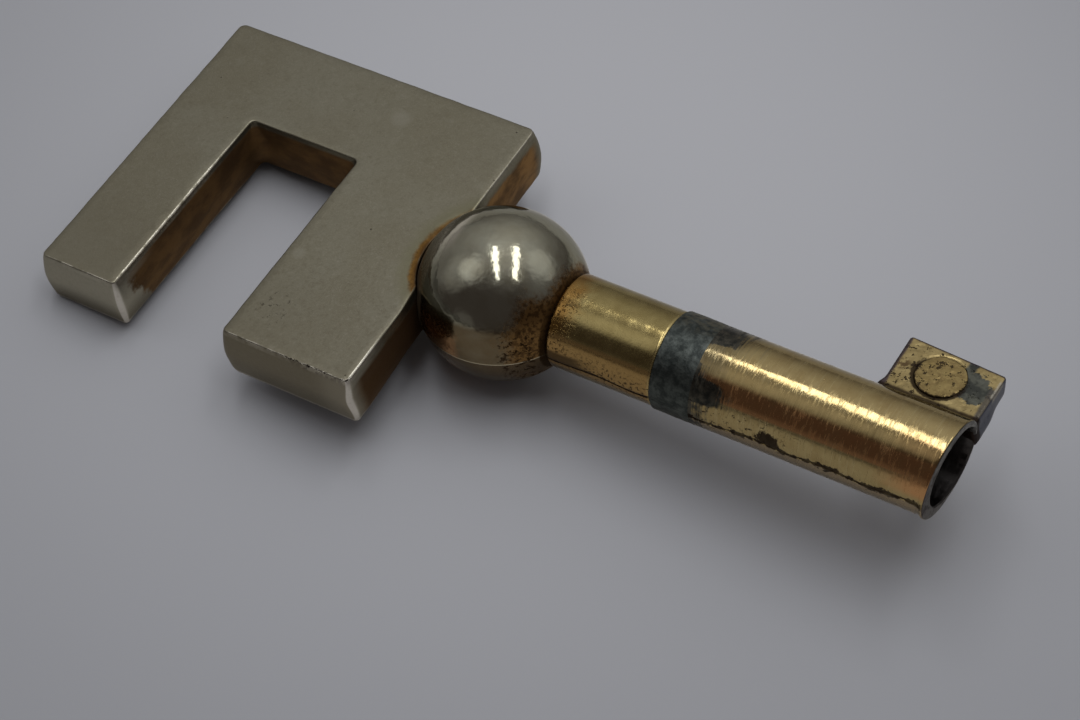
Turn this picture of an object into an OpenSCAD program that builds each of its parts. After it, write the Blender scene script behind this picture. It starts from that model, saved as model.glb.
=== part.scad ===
// A pipe key for a cabinet or wardrobe lock, with a squared C-shaped bow and a ball collar.
// The origin is the centre of the pipe's mouth. +X points out of the mouth along the pipe's
// axis, +Y points from the axis to the bit and to the bow's spine, and +Z is square to the bow.
// The parts are strung on an inner spindle and soldered together, so nothing moves.

/* [Bow] */
// Width of the bow along the key, across both legs, at its middle plane
bow_w = 26.4; // [25:0.1:30]
// Depth of the bow across the key, from the spine's back to the legs' ends, at its middle plane
bow_d = 25.8; // [22:0.1:32]
// Thickness of the bow
bow_t = 4.5; // [4.2:0.1:6]
// How far the side faces slope in from the middle plane to the top and to the underside
bow_draft = 0.35; // [0.1:0.05:0.5]
// Width of the rear leg at the middle plane
rear_leg_w = 7.1; // [5:0.1:8]
// Width of the front leg, which carries the ball, at the middle plane
front_leg_w = 10.8; // [10:0.1:11.5]
// Width of the spine at the middle plane
spine_w = 8.7; // [6:0.1:10]
// Rounding of the upright outer corners at the middle plane
bow_corner_r = 0.9; // [0.7:0.1:1.6]
// Rounding of the upright corners at the slot's end, at the middle plane
slot_corner_r = 0.8; // [0.4:0.1:1.6]
// Rounding of the long edges along the top and the underside
bow_edge_r = 0.2; // [0.1:0.05:0.3]

/* [Ball collar] */
// Diameter of the ball
ball_d = 12.25; // [11.6:0.05:13]
// Distance from the ball's centre back to the bow's front face, at the middle plane
ball_to_bow = 4.2; // [3.6:0.1:4.8]
// Width of the bevel round the ball's seat, on the top and the underside of the bow
seat_bevel = 0.1; // [0.05:0.05:0.5]

/* [Shoulder sleeve] */
// Outside diameter of the sleeve
sleeve_d = 6.8; // [6.2:0.05:7.4]
// Distance from the ball's centre to the front face of the sleeve
sleeve_reach = 13.35; // [11:0.05:18]
// Rounding of the sleeve's back edge
sleeve_round = 0.8; // [0.4:0.05:1]

/* [Pipe] */
// Outside diameter of the pipe
pipe_d = 7; // [6.8:0.05:7.6]
// Length of the pipe
pipe_l = 20.1; // [19:0.1:30]
// Diameter of the bore at the mouth
bore_d = 5.6; // [5:0.05:5.8]
// Depth of the bore from the mouth
bore_depth = 16; // [12:0.1:17]
// Rounding of the outer lip at the mouth
lip_round = 0.15; // [0.05:0.05:0.25]
// Bevel at the mouth of the bore
mouth_bevel = 0.1; // [0.05:0.05:0.15]

/* [Solder band] */
// Length of the solder band along the pipe
band_l = 3; // [2:0.1:3.5]
// Depth of the rebate in the pipe that holds the band
band_depth = 0.3; // [0.2:0.05:0.35]

/* [Spindle] */
// Diameter of the spindle
spindle_d = 3; // [2.6:0.1:3.2]
// Length of the spindle's tenon in the bow, behind the ball
tenon_l = 6; // [4:0.1:6.5]
// Bevel at both ends of the spindle
spindle_bevel = 0.3; // [0.1:0.05:0.5]

/* [Bit] */
// Length of the bit along the pipe
bit_l = 6.55; // [5.5:0.05:9]
// How far the bit stands out from the pipe, at its back corner
bit_h = 4.7; // [4.4:0.1:7]
// How much less it stands out at the mouth
bit_drop = 0.3; // [0.1:0.05:0.5]
// Thickness of the bit at the pipe's surface
bit_root_t = 2.4; // [2:0.1:3]
// Thickness of the bit at its outer edge
bit_edge_t = 1.8; // [1.4:0.1:2]
// How far the bit's front edge leans forward of the mouth at its outer end
bit_lead = 0.55; // [0.2:0.05:1]
// Rounding of the bit's two outer corners
bit_corner_r = 0.25; // [0.1:0.05:0.5]

/* [Bit plug] */
// Diameter of the round plug in the bit
plug_d = 3.5; // [2.5:0.1:3.8]
// How far the plug stands proud of the bit's faces
plug_proud = 0.06; // [0.02:0.01:0.12]
// Width of the open line round the plug
plug_line_w = 0.12; // [0.1:0.01:0.2]
// Depth of that line
plug_line_depth = 0.25; // [0.15:0.05:0.35]

/* [Fits] */
// Gap between soldered or brazed faces, all round
solder_gap = 0.04; // [0.02:0.01:0.08]
// Room left at the end of a blind hole
end_gap = 0.3; // [0.2:0.05:0.5]

/* [Hidden] */
$fn = 96;

// Colours
satin_nickel = [0.44, 0.42, 0.35];
bright_nickel = [0.62, 0.61, 0.56];
gold_brass = [0.74, 0.6, 0.26];
bright_brass = [0.8, 0.66, 0.3];
plain_brass = [0.7, 0.56, 0.28];
dark_solder = [0.2, 0.22, 0.2];

// An overshoot that carries a cutter clear of the faces that it cuts
clear = 1;
// Steps in the arc of a rounded edge
arc_steps = 4;

// The ball and its seat in the bow
ball_r = ball_d / 2;
ball_x = -pipe_l - sleeve_reach;
seat_r = ball_r + solder_gap;

// The bow's outline at its middle plane, and the two corners at the slot's end
bow_front_x = ball_x - ball_to_bow;
bow_rear_x = bow_front_x - bow_w;
slot_front_x = bow_front_x - front_leg_w;
slot_rear_x = bow_rear_x + rear_leg_w;
slot_end_y = bow_d / 2 - spine_w;

// The slope of the bow's side faces, and how far the flat top lies in from the middle plane's outline
lean = atan2(bow_draft, bow_t / 2);
top_in = bow_draft + bow_edge_r * tan(45 - lean / 2);

// The sleeve: its back edge starts to round where the ball's surface reaches it
sleeve_r = sleeve_d / 2;
sleeve_front_x = -pipe_l - solder_gap;
sleeve_back_x = ball_x + sqrt(pow(seat_r, 2) - pow(sleeve_r - sleeve_round, 2));

// The pipe and the rebate for its solder band
pipe_r = pipe_d / 2;
bore_r = bore_d / 2;
rebate_r = pipe_r - band_depth;
band_front_x = band_l - pipe_l;

// The spindle and the hole for it in every part that it runs through
spindle_r = spindle_d / 2;
spindle_hole_r = spindle_r + solder_gap;
tenon_end_x = ball_x - ball_r - tenon_l;
spindle_front_x = -bore_depth - end_gap;

// The bit, and the plug at the middle of its face
bit_edge_y = pipe_r + bit_h;
plug_r = plug_d / 2;
plug_x = -bit_l / 2;
plug_y = pipe_r + (bit_h - bit_drop / 2) / 2;
bit_lean = atan2((bit_root_t - bit_edge_t) / 2, bit_h);
plug_half_t = bit_root_t / 2 - (plug_y - pipe_r) * tan(bit_lean);

// Points of an arc about [cx, cy], from angle a0 to angle a1
function arc(cx, cy, r, a0, a1) = [
    for (i = [0 : arc_steps])
        let (a = a0 + (a1 - a0) * i / arc_steps)
        [cx + r * cos(a), cy + r * sin(a)]
];

// Points of the arc that rounds the corner at [x, y], whose edges face out at angles a0 and a1
function rounded(x, y, r, a0, a1) =
    let (k = r / (1 + cos(a1 - a0)))
    arc(x - k * (cos(a0) + cos(a1)), y - k * (sin(a0) + sin(a1)), r, a0, a1);

// The same points in reverse order, mirrored to the other side of zero
function mirrored(points) = [for (i = [len(points) - 1 : -1 : 0]) [-points[i].x, points[i].y]];

// The same points moved along their first axis
function moved(points, by) = [for (p = points) [p.x + by, p.y]];

// An outer side of the bow, from the underside up: widest at the middle plane, where it lies at
// zero, sloping in to rounded long edges
outer_side = concat(
    arc(-top_in, bow_edge_r - bow_t / 2, bow_edge_r, -90, -lean),
    [[0, 0]],
    arc(-top_in, bow_t / 2 - bow_edge_r, bow_edge_r, lean, 90)
);

// The same for a side of the slot's cutter, which opens out from the middle plane to both faces
slot_side = concat(
    [[top_in, -bow_t / 2 - clear]],
    arc(top_in, bow_edge_r - bow_t / 2, bow_edge_r, 270, 180 + lean),
    [[0, 0]],
    arc(top_in, bow_t / 2 - bow_edge_r, bow_edge_r, 180 - lean, 90),
    [[top_in, bow_t / 2 + clear]]
);

// An upright outline of [y, z] points, drawn out along X from x0 to x1
module prism_x(points, x0, x1) {
    translate([x0, 0, 0]) rotate([90, 0, 90]) linear_extrude(x1 - x0) polygon(points);
}

// An upright outline of [x, z] points, drawn out along Y from y0 to y1
module prism_y(points, y0, y1) {
    translate([0, y1, 0]) rotate([90, 0, 0]) linear_extrude(y1 - y0) polygon(points);
}

// An outline of [radius, z] points turned about an upright axis at [x, y]
module post(points, x, y) {
    translate([x, y, 0]) rotate_extrude() polygon(points);
}

// An outline of [radius, x] points turned about the pipe's axis
module turned(points) {
    rotate([0, 90, 0]) rotate_extrude() polygon(points);
}

// The bow's outer form, with sloping sides and rounded upright corners
module bow_block() {
    half_d = bow_d / 2;
    corner = concat([[0, -bow_t / 2]], moved(outer_side, bow_corner_r), [[0, bow_t / 2]]);
    corner_x = [bow_rear_x + bow_corner_r, bow_front_x - bow_corner_r];
    corner_y = half_d - bow_corner_r;
    prism_y(
        concat(moved(outer_side, bow_front_x), moved(mirrored(outer_side), bow_rear_x)),
        -corner_y, corner_y
    );
    prism_x(
        concat(moved(outer_side, half_d), moved(mirrored(outer_side), -half_d)),
        corner_x[0], corner_x[1]
    );
    for (x = corner_x, y = [-corner_y, corner_y]) post(corner, x, y);
}

// The cutter for the open slot between the legs, which runs out past the legs' ends
module slot_cutter() {
    open_y = -bow_d / 2 - clear;
    cut_z = bow_t / 2 + clear;
    corner = concat([[0, -cut_z]], moved(slot_side, slot_corner_r), [[0, cut_z]]);
    corner_x = [slot_rear_x + slot_corner_r, slot_front_x - slot_corner_r];
    corner_y = slot_end_y - slot_corner_r;
    prism_y(
        concat(moved(slot_side, slot_front_x), moved(mirrored(slot_side), slot_rear_x)),
        open_y, corner_y
    );
    prism_x(
        concat([[open_y, -cut_z]], moved(slot_side, slot_end_y), [[open_y, cut_z]]),
        corner_x[0], corner_x[1]
    );
    for (x = corner_x) post(corner, x, corner_y);
}

// The cutter that rounds a leg's end corner where the slot wall lies at wall_x. The leg lies on
// the side of the wall that toward, 1 or -1, points to.
module leg_end_cutter(wall_x, toward) {
    cut_z = bow_t / 2 + clear;
    corner_x = wall_x + toward * bow_corner_r;
    corner_y = bow_corner_r - bow_d / 2;
    top_r = bow_corner_r - top_in;
    corner = concat(
        [[0, -cut_z], [top_r, -cut_z]], moved(outer_side, bow_corner_r), [[top_r, cut_z], [0, cut_z]]
    );
    difference() {
        translate([min(corner_x, wall_x - toward * clear), -bow_d / 2 - clear, -cut_z])
            cube([bow_corner_r + clear, bow_corner_r + clear, 2 * cut_z]);
        post(corner, corner_x, corner_y);
    }
}

// The seat for the ball: a hollow of the ball's own form, bevelled where it meets the bow's faces
module ball_seat() {
    bevel_z = bow_t / 2 - seat_bevel;
    bevel_r = sqrt(pow(seat_r, 2) - pow(bevel_z, 2));
    translate([ball_x, 0, 0]) {
        sphere(r = seat_r);
        for (side = [0, 1]) mirror([0, 0, side]) translate([0, 0, bevel_z])
            cylinder(h = seat_bevel + clear, r1 = bevel_r, r2 = bevel_r + seat_bevel + clear);
    }
}

// A round bar along the pipe's axis, from x0 to x1
module bar(x0, x1, r) {
    translate([x0, 0, 0]) rotate([0, 90, 0]) cylinder(h = x1 - x0, r = r);
}

// The bit's wedge-shaped section, with its faces moved out by proud
module bit_section(proud) {
    outer_y = bit_edge_y + clear;
    outer_half_t = bit_edge_t / 2 - clear * tan(bit_lean) + proud;
    inner_half_t = bit_root_t / 2 + pipe_r * tan(bit_lean) + proud;
    prism_x(
        [[0, -inner_half_t], [outer_y, -outer_half_t], [outer_y, outer_half_t], [0, inner_half_t]],
        -bit_l - clear, bit_lead + clear
    );
}

// The bit's outline seen from above: square to the pipe at the back, with an outer edge that falls
// towards the front and a front edge that leans forward from the mouth
module bit_plan() {
    front_y = bit_edge_y - bit_drop;
    turn = atan2(bit_lead, front_y);
    fall = atan2(bit_drop, bit_l + bit_lead);
    polygon(concat(
        [[-bit_l, 0], [0, 0]],
        rounded(bit_lead, front_y, bit_corner_r, -turn, 90 - fall),
        rounded(-bit_l, bit_edge_y, bit_corner_r, 90 - fall, 180)
    ));
}

// Flat handle with its open slot, the ball's seat and the socket for the spindle
module bow() {
    color(satin_nickel) difference() {
        bow_block();
        slot_cutter();
        leg_end_cutter(slot_rear_x, -1);
        leg_end_cutter(slot_front_x, 1);
        ball_seat();
        bar(tenon_end_x - end_gap, ball_x, spindle_hole_r);
    }
}

// Ball with a through hole for the spindle
module ball_collar() {
    color(bright_nickel) difference() {
        translate([ball_x, 0, 0]) sphere(r = ball_r);
        bar(ball_x - ball_r - clear, ball_x + ball_r + clear, spindle_hole_r);
    }
}

// Inner rod from the bow's socket, through the ball and the sleeve, into the back of the pipe
module spindle() {
    color(plain_brass) turned([
        [0, tenon_end_x],
        [spindle_r - spindle_bevel, tenon_end_x],
        [spindle_r, tenon_end_x + spindle_bevel],
        [spindle_r, spindle_front_x - spindle_bevel],
        [spindle_r - spindle_bevel, spindle_front_x],
        [0, spindle_front_x]
    ]);
}

// Sleeve between ball and pipe, rounded at the back and hollowed to sit on the ball
module shoulder_sleeve() {
    color(gold_brass) difference() {
        turned(concat(
            [[0, sleeve_back_x]],
            arc(sleeve_r - sleeve_round, sleeve_back_x + sleeve_round, sleeve_round, -90, 0),
            [[sleeve_r, sleeve_front_x], [0, sleeve_front_x]]
        ));
        translate([ball_x, 0, 0]) sphere(r = seat_r);
        bar(ball_x, clear, spindle_hole_r);
    }
}

// Ring of solder that fills the rebate at the back of the pipe
module solder_band() {
    inner_r = rebate_r + solder_gap;
    color(dark_solder) turned([
        [inner_r, -pipe_l],
        [pipe_r, -pipe_l],
        [pipe_r, band_front_x - solder_gap],
        [inner_r, band_front_x - solder_gap]
    ]);
}

// Tube with its bore at the mouth, a rebate for the solder and a hole for the spindle at the back
module pipe() {
    color(bright_brass) turned(concat(
        [
            [spindle_hole_r, -pipe_l],
            [rebate_r, -pipe_l],
            [rebate_r, band_front_x],
            [pipe_r, band_front_x]
        ],
        arc(pipe_r - lip_round, -lip_round, lip_round, 0, 90),
        [
            [bore_r + mouth_bevel, 0],
            [bore_r, -mouth_bevel],
            [bore_r, -bore_depth],
            [spindle_hole_r, -bore_depth]
        ]
    ));
}

// Plate with a saddle that fits the pipe, and a round hole for its plug
module bit() {
    line_z = plug_half_t - plug_line_depth;
    color(bright_brass) difference() {
        intersection() {
            bit_section(0);
            translate([0, 0, -bit_root_t]) linear_extrude(2 * bit_root_t) bit_plan();
        }
        bar(-bit_l - clear, bit_lead + clear, pipe_r + solder_gap);
        translate([plug_x, plug_y, -bit_root_t]) cylinder(h = 2 * bit_root_t, r = plug_r + solder_gap);
        for (side = [0, 1]) mirror([0, 0, side]) translate([plug_x, plug_y, line_z])
            cylinder(h = bit_root_t, r = plug_r + plug_line_w);
    }
}

// Round plug through the bit, its ends following the bit's faces
module bit_plug() {
    color(plain_brass) intersection() {
        bit_section(plug_proud);
        translate([plug_x, plug_y, -bit_root_t]) cylinder(h = 2 * bit_root_t, r = plug_r);
    }
}

bow();
ball_collar();
spindle();
shoulder_sleeve();
solder_band();
pipe();
bit();
bit_plug();
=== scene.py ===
from math import acos, asin, atan2, cos, degrees, hypot, pi, radians, sin, sqrt

import bpy
from mathutils import Matrix, Vector, geometry, noise


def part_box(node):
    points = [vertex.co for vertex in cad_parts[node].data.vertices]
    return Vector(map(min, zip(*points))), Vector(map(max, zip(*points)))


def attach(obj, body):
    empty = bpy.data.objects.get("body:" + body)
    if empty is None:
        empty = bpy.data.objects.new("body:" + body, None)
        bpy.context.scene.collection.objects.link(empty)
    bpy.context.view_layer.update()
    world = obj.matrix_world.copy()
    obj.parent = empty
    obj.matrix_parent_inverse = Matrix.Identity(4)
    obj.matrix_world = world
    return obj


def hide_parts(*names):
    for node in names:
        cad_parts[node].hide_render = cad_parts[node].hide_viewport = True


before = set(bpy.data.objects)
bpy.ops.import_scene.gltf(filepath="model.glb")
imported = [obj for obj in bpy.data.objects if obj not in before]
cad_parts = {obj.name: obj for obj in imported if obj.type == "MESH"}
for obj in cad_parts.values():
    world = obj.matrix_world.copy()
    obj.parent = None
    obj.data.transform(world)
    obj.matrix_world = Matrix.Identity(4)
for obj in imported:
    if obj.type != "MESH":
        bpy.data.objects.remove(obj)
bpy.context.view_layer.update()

# Sizes are in millimetres in the part's frame, and times MM they are in metres.
MM = 0.001
scene = bpy.context.scene


def extent(node):
    """A CAD node's lowest and highest corners in millimetres."""
    low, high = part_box(node)
    return low / MM, high / MM


# -------- sizes from the frame
bow_low, bow_high = extent("bow")
ball_low, ball_high = extent("ball_collar")
pipe_low = extent("pipe")[0]
sleeve_low, sleeve_high = extent("shoulder_sleeve")
band_high = extent("solder_band")[1]
bit_low, bit_high = extent("bit")
plug_low, plug_high = extent("bit_plug")

BOW_REAR_X, BOW_FRONT_X = bow_low.x, bow_high.x
BOW_HALF_D, BOW_HALF_T = bow_high.y, bow_high.z
BALL_X, BALL_R = (ball_low.x + ball_high.x) / 2, ball_high.z
SLEEVE_FRONT_X, SLEEVE_R = sleeve_high.x, -sleeve_low.z
PIPE_REAR_X, PIPE_R = pipe_low.x, -pipe_low.z
BAND_FRONT_X = band_high.x
BIT_REAR_X, BIT_EDGE_Y = bit_low.x, bit_high.y
PLUG_R = (plug_high.x - plug_low.x) / 2
PLUG_X, PLUG_Y = plug_high.x - PLUG_R, (plug_low.y + plug_high.y) / 2

# -------- sizes of their details
SLOT_REAR_X = BOW_REAR_X + 7.1
SLOT_FRONT_X = BOW_FRONT_X - 10.8
SLOT_END_Y = BOW_HALF_D - 8.7
SLOT_CORNER_R, SLOT_CORNER_FACE_R = 1.25, 0.4  # in the middle plane and at the flat faces
SLOT_CORNER_ROOM = 1.3
BOW_CORNER_R, LEG_CORNER_R = 0.9, 0.72
LEG_LONGER = 0.13  # the photo's leg ends lie this much further out than the CAD's
BOW_DRAFT = 0.35  # the sides lean in by this between the middle plane and a flat face
BOW_EDGE_R, BOW_EDGE_ROOM = 0.17, 0.36
LEG_STEEP, LEG_FLARE = 0.24, 0.3  # how far the front side stands out along the front leg
SEAT_R = BALL_R - 0.005
SEAT_HALF_Y = 5.5
SEAT_BEVEL = 0.08
BALL_SKIN = 0.03  # keeps its dents inside the CAD's ball
SHELL_STEP_Z = -0.3  # the ball's upper shell ends here, a little proud of the lower one
SHELL_STEP = 0.05
INNER_R = 1.6  # round the hidden spindle
BORE_R = 2.8
BORE_DEPTH = 16.0
BORE_SHIFT = 0.32, -0.2  # the bore's mouth lies this far off the axis
MOUTH_BURR, MOUTH_BURR_TURN = 0.16, radians(215)  # the mouth's edge is bent out here
SEAM_HALF, SEAM_DEPTH = 0.1, 0.05
SEAM_DRIFT, SEAM_WAVE, SEAM_RATE = 0.06, 0.03, 1.1  # how the seam wanders, in radians
BIT_SKIN = 0.02  # its faces lie this far inside the CAD's
BIT_ROOT_Y = 3.1
BIT_DROP = 0.42
BIT_ROOT_HALF_T, BIT_EDGE_HALF_T = 1.2, 0.9
BIT_CORNER_R = 0.25
PLUG_PROUD = 0.02
PLUG_GAP = radians(250)  # the gap round the plug is widest on this side
# The mouth and the bit's front edge are filed out of square, by these parts of y and z
FRONT_LEAD, FRONT_Y, FRONT_EDGE_Y, FRONT_Z = 0.12, 0.085, 0.02, 0.05


# -------- meshes
def smooth(v, low, high):
    """0 at low, 1 at high, and an S-shaped rise between them. low may be above high."""
    t = min(1.0, max(0.0, (v - low) / (high - low)))
    return t * t * (3 - 2 * t)


def rough(x, y, z, scale, octaves=3):
    """Noise between about -1 and 1 whose features are about 1 / scale mm wide."""
    return noise.fractal(Vector((x, y, z)) * scale, 1.0, 2.0, octaves)


def in_scene(name, data):
    """A new object in the scene."""
    obj = bpy.data.objects.new(name, data)
    scene.collection.objects.link(obj)
    return obj


def piece(name, points, faces, material, node, crease=40):
    """A mesh piece that rides on the part and stands for one CAD node."""
    mesh = bpy.data.meshes.new(name)
    mesh.from_pydata([tuple(c * MM for c in p) for p in points], [], faces)
    mesh.validate()
    mesh.update()
    mesh.shade_smooth()
    mesh.set_sharp_from_angle(angle=radians(crease))
    mesh.materials.append(material)
    obj = in_scene(name, mesh)
    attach(obj, "root")
    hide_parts(node)
    return obj


def strip(faces, first, second, n):
    """Faces between two closed rows of n points that start at the indices first and second."""
    for i in range(n):
        j = (i + 1) % n
        faces.append((first + i, first + j, second + j, second + i))


def steps(a, b, step):
    """Values from a to b, b left out, about step apart."""
    n = max(1, round(abs(b - a) / step))
    return [a + (b - a) * i / n for i in range(n)]


def ring_angles(step, fine):
    """Angles round the pipe's axis, fine apart near its two seams and step apart elsewhere."""
    out, a = [], 0.0
    while a < 2 * pi - 1e-6:
        out.append(a)
        a += fine if abs(sin(a)) < 0.25 else step
    return out


def lathe(name, profile, bump, material, node, slide=lambda x, y, z: 0):
    """A piece turned about the pipe's axis. profile is a closed loop of (x, radius) points;
    bump(x, radius, angle) is added to the radius and slide(x, y, z) to x."""
    angles = ring_angles(0.035, 0.014)
    points, faces = [], []
    n = len(angles)
    for x, r in profile:
        for a in angles:
            rr = r + bump(x, r, a)
            y, z = rr * cos(a), rr * sin(a)
            points.append((x + slide(x, y, z), y, z))
    for k in range(len(profile)):
        strip(faces, k * n, (k + 1) % len(profile) * n, n)
    return piece(name, points, faces, material, node)


def quarter(cx, cy, r, start, turn=90, n=6):
    """Points on an arc round (cx, cy), from the angle start through turn degrees."""
    angles = [radians(start + turn * i / n) for i in range(n + 1)]
    return [(cx + r * cos(a), cy + r * sin(a)) for a in angles]


def line(x0, y0, x1, y1, n):
    """The points that divide a line into n parts, its ends left out."""
    return [(x0 + (x1 - x0) * i / n, y0 + (y1 - y0) * i / n) for i in range(1, n)]


def inward(ring):
    """For each point of an anticlockwise ring, the unit vector that points into it."""
    out = []
    for i in range(len(ring)):
        (ax, ay), (bx, by) = ring[i - 1], ring[(i + 1) % len(ring)]
        size = hypot(bx - ax, by - ay)
        out.append(((ay - by) / size, (bx - ax) / size))
    return out


def inside(x, y, ring):
    """Whether a place lies inside a ring of points."""
    hit = False
    for i, (ax, ay) in enumerate(ring):
        bx, by = ring[i - 1]
        if (ay > y) != (by > y) and x < (bx - ax) * (y - ay) / (by - ay) + ax:
            hit = not hit
    return hit


def cap(points, faces, rings, grid, side, height):
    """Fills the flat face inside the first ring of point indices and outside the others.
    grid is the gap between the points inside it, side is 1 or -1, and height(x, y) their z."""
    flat = [[points[i][:2] for i in ring] for ring in rings]
    outer, holes = flat[0], flat[1:]

    def within(x, y):
        return inside(x, y, outer) and not any(inside(x, y, hole) for hole in holes)

    low_x, high_x = min(p[0] for p in outer), max(p[0] for p in outer)
    low_y, high_y = min(p[1] for p in outer), max(p[1] for p in outer)
    index = [i for ring in rings for i in ring]
    seen = [Vector(p) for ring in flat for p in ring]
    edge = list(seen)
    for i in range(int((high_x - low_x) / grid) + 1):
        for j in range(int((high_y - low_y) / grid) + 1):
            x = low_x + grid * (i + 0.25 * sin(3.1 * j))
            y = low_y + grid * (j + 0.25 * sin(2.7 * i))
            if within(x, y) and min(abs(x - q.x) + abs(y - q.y) for q in edge) > grid * 0.8:
                seen.append(Vector((x, y)))
                index.append(len(points))
                points.append((x, y, side * height(x, y)))
    bounds, start = [], 0
    for ring in rings:
        n = len(ring)
        bounds += [(start + i, start + (i + 1) % n) for i in range(n)]
        start += n
    _, _, found, source, _, _ = geometry.delaunay_2d_cdt(seen, bounds, [], 0, 1e-7)
    for corners in found:
        old = [source[v][0] for v in corners]
        x, y = (sum(seen[v][k] for v in old) / len(old) for k in (0, 1))
        if within(x, y):
            tri = [index[v] for v in old]
            faces.append(tri if side > 0 else tri[::-1])


# -------- the bow
def bow_outline(inset, slot_r, seat_r):
    """The bow's outline, anticlockwise, drawn in by inset on every side."""
    c, r = BOW_CORNER_R, BOW_CORNER_R - inset
    e, end_r = LEG_CORNER_R, LEG_CORNER_R - inset
    rear, front, low, high = BOW_REAR_X, BOW_FRONT_X, -BOW_HALF_D - LEG_LONGER, BOW_HALF_D
    slot_rear, slot_front = SLOT_REAR_X - inset, SLOT_FRONT_X + inset
    slot_end, room = SLOT_END_Y + inset, SLOT_CORNER_ROOM
    half = degrees(acos((BALL_X - front + inset) / seat_r))
    turn_y = slot_end - slot_r
    return (
        quarter(rear + e, low + e, end_r, 180)
        + line(rear + e, low + inset, SLOT_REAR_X - e, low + inset, 18)
        + quarter(SLOT_REAR_X - e, low + e, end_r, 270)
        + line(slot_rear, low + e, slot_rear, SLOT_END_Y - room, 43)
        + quarter(slot_rear + slot_r, turn_y, slot_r, 180, -90)
        + line(SLOT_REAR_X + room, slot_end, SLOT_FRONT_X - room, slot_end, 17)
        + quarter(slot_front - slot_r, turn_y, slot_r, 90, -90)
        + line(slot_front, SLOT_END_Y - room, slot_front, low + e, 43)
        + quarter(SLOT_FRONT_X + e, low + e, end_r, 180)
        + line(SLOT_FRONT_X + e, low + inset, front - e, low + inset, 45)
        + quarter(front - e, low + e, end_r, 270)
        + line(front - inset, low + e, front - inset, -SEAT_HALF_Y, 22)
        + [(BALL_X + x, y) for x, y in quarter(0, 0, seat_r, 180 + half, -2 * half, 32)]
        + line(front - inset, SEAT_HALF_Y, front - inset, high - c, 22)
        + quarter(front - c, high - c, r, 0)
        + line(front - c, high - inset, rear + c, high - inset, 62)
        + quarter(rear + c, high - c, r, 90)
        + line(rear + inset, high - c, rear + inset, low + e, 60)
    )


def edge_radius(x, y):
    """How far the bow's edges are rounded: more where they are rubbed or chipped."""
    rubbed = BOW_EDGE_R * (1 + 0.3 * rough(x, y, 3, 0.8))
    chipped = smooth(y, -12.2, -12.6) * smooth(x, -43.5, -42)
    front = smooth(x, -38.7, -38.3) * smooth(y, -6.5, -8.5)
    slot = smooth(abs(x - SLOT_REAR_X), 1, 0.6) * smooth(y, 2, -2)
    rounder = 0.07 * max(front, slot) * smooth(y, -12.9, -12)
    return rubbed + rounder + 0.12 * chipped * max(0, rough(x, y, 5, 3))


def make_bow(material):
    rings = []
    for z in (0, 0.25, 0.5, 0.8, 1.1, 1.4, 1.65, BOW_HALF_T - BOW_EDGE_ROOM):
        sharper = SLOT_CORNER_R - SLOT_CORNER_FACE_R
        slot_r = SLOT_CORNER_R - sharper * smooth(z, 0.4, BOW_HALF_T)
        bevel = SEAT_BEVEL * smooth(z, BOW_HALF_T - SEAT_BEVEL - 0.1, BOW_HALF_T)
        inset = BOW_DRAFT * (z / BOW_HALF_T) ** 1.6
        ring = bow_outline(inset, slot_r, sqrt(SEAT_R**2 - z * z) + bevel)
        rings.append([(x, y, z) for x, y in ring])
    seat_r = sqrt(SEAT_R**2 - BOW_HALF_T**2) + SEAT_BEVEL
    last = bow_outline(BOW_DRAFT, SLOT_CORNER_FACE_R, seat_r)
    normals = inward(last)
    for tip in (radians(a) for a in (0, 22.5, 45, 67.5, 90)):
        ring = []
        for (x, y), (ix, iy) in zip(last, normals):
            r = edge_radius(x, y)
            inset = r * (1 - cos(tip))
            ring.append((x + ix * inset, y + iy * inset, BOW_HALF_T - r + r * sin(tip)))
        rings.append(ring)
    rings = [[(x, y, -z) for x, y, z in ring] for ring in rings[:0:-1]] + rings
    points, faces = [], []
    n = len(last)
    for ring in rings:
        for x, y, z in ring:
            wave = 0.014 * rough(x, y, z, 0.5) + 0.008 * rough(x, y, z + 9, 2.5)
            # Along the front leg, the front side leans less on top and flares out below
            steep = LEG_STEEP * smooth(y, -4.4, -6) * smooth(z, 0, BOW_HALF_T)
            flare = LEG_FLARE * smooth(y, -5, -11.5) * smooth(z, 0.5, -1.3)
            forward = (steep + flare) * smooth(x, -39.2, -38.3)
            points.append((x + wave + forward, y + wave * 0.6, z))
    for k in range(len(rings) - 1):
        strip(faces, k * n, (k + 1) * n, n)
    top = (len(rings) - 1) * n
    for side, first in ((1, top), (-1, 0)):
        ring = list(range(first, first + n))
        cap(points, faces, [ring], 0.45, side, lambda x, y: bow_top(x, y, side))
    return piece("bow_detailed", points, faces, material, "bow", 50)


def bow_top(x, y, side):
    """Half the bow's thickness at a place on a flat face, which is wavy with shallow dents."""
    z = BOW_HALF_T - 0.006 + 0.005 * rough(x, y, side * 7, 0.3)
    dent = rough(x, y, side * 3, 0.55, 2)
    return z - 0.012 * smooth(dent, 0.45, 0.8)


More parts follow.
